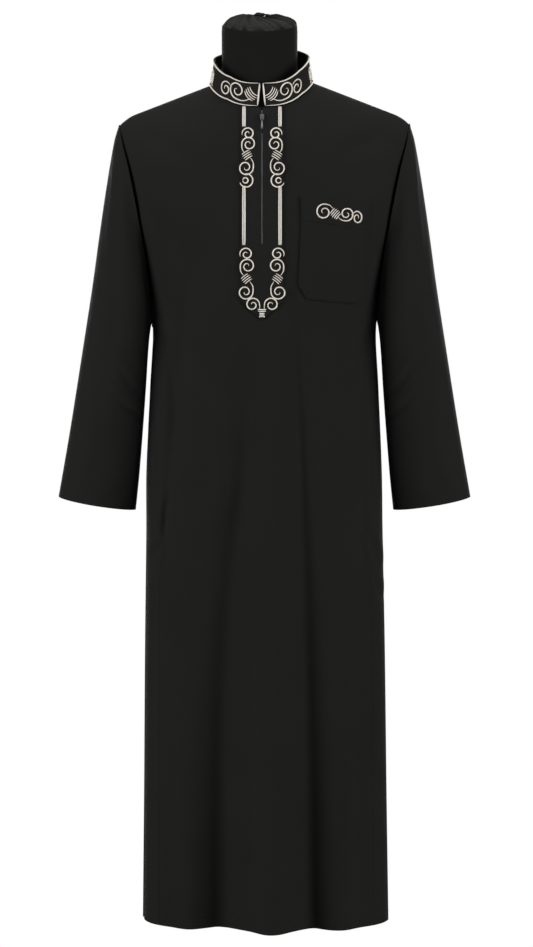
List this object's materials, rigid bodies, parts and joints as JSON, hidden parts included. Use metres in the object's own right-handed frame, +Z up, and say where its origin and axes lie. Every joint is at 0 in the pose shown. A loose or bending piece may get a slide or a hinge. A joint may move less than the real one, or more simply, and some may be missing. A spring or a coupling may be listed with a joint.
{
  "type": "abaya on a limbless dress form",
  "caption": "Long black men's robe with stand collar, zip placket with scroll embroidery, chest pocket and wide sleeves, on a dress form",
  "frame": {"origin": "middle of the base's underside", "axes": "+X is the wearer's left, -Y is the front, +Z is up"},
  "size_m": [0.6798, 0.2882, 1.5009],
  "materials": {
    "suiting": "matte black suiting, fine twill",
    "braid": "cream and gold rayon braid and cord",
    "zip_tape": "woven polyester tape",
    "zip_metal": "nickel-plated zinc, worn bright",
    "form_cover": "black jersey pulled over the neck block",
    "form_shell": "shell covered with black cotton jersey",
    "stand_steel": "satin powder coat"
  },
  "bodies": {
    "robe_on_form": {"front": "suiting", "back": "suiting", "sleeve_left": "suiting", "sleeve_right": "suiting", "collar": "suiting", "placket": "suiting", "chest_pocket": "suiting", "pocket_band": "suiting", "braid_top_left": "braid", "braid_top_right": "braid", "braid_low_left": "braid", "braid_low_right": "braid", "zip_chain": "zip_metal", "zip_tape": "zip_tape", "zip_slider": "zip_metal", "form_torso": "form_shell", "form_neck": "form_cover", "form_neck_knot": "form_cover", "form_pole": "stand_steel", "form_base": "stand_steel"},
    "zip_pull": {"zip_pull": "zip_metal"}
  },
  "joints": [
    {"name": "zip_pull_hinge", "type": "hinge", "parent": "robe_on_form", "child": "zip_pull", "pos_m": [-0.004, -0.08832, 1.33394], "axis": [-1, 0, 0], "range_deg": [0, 150]}
  ]
}
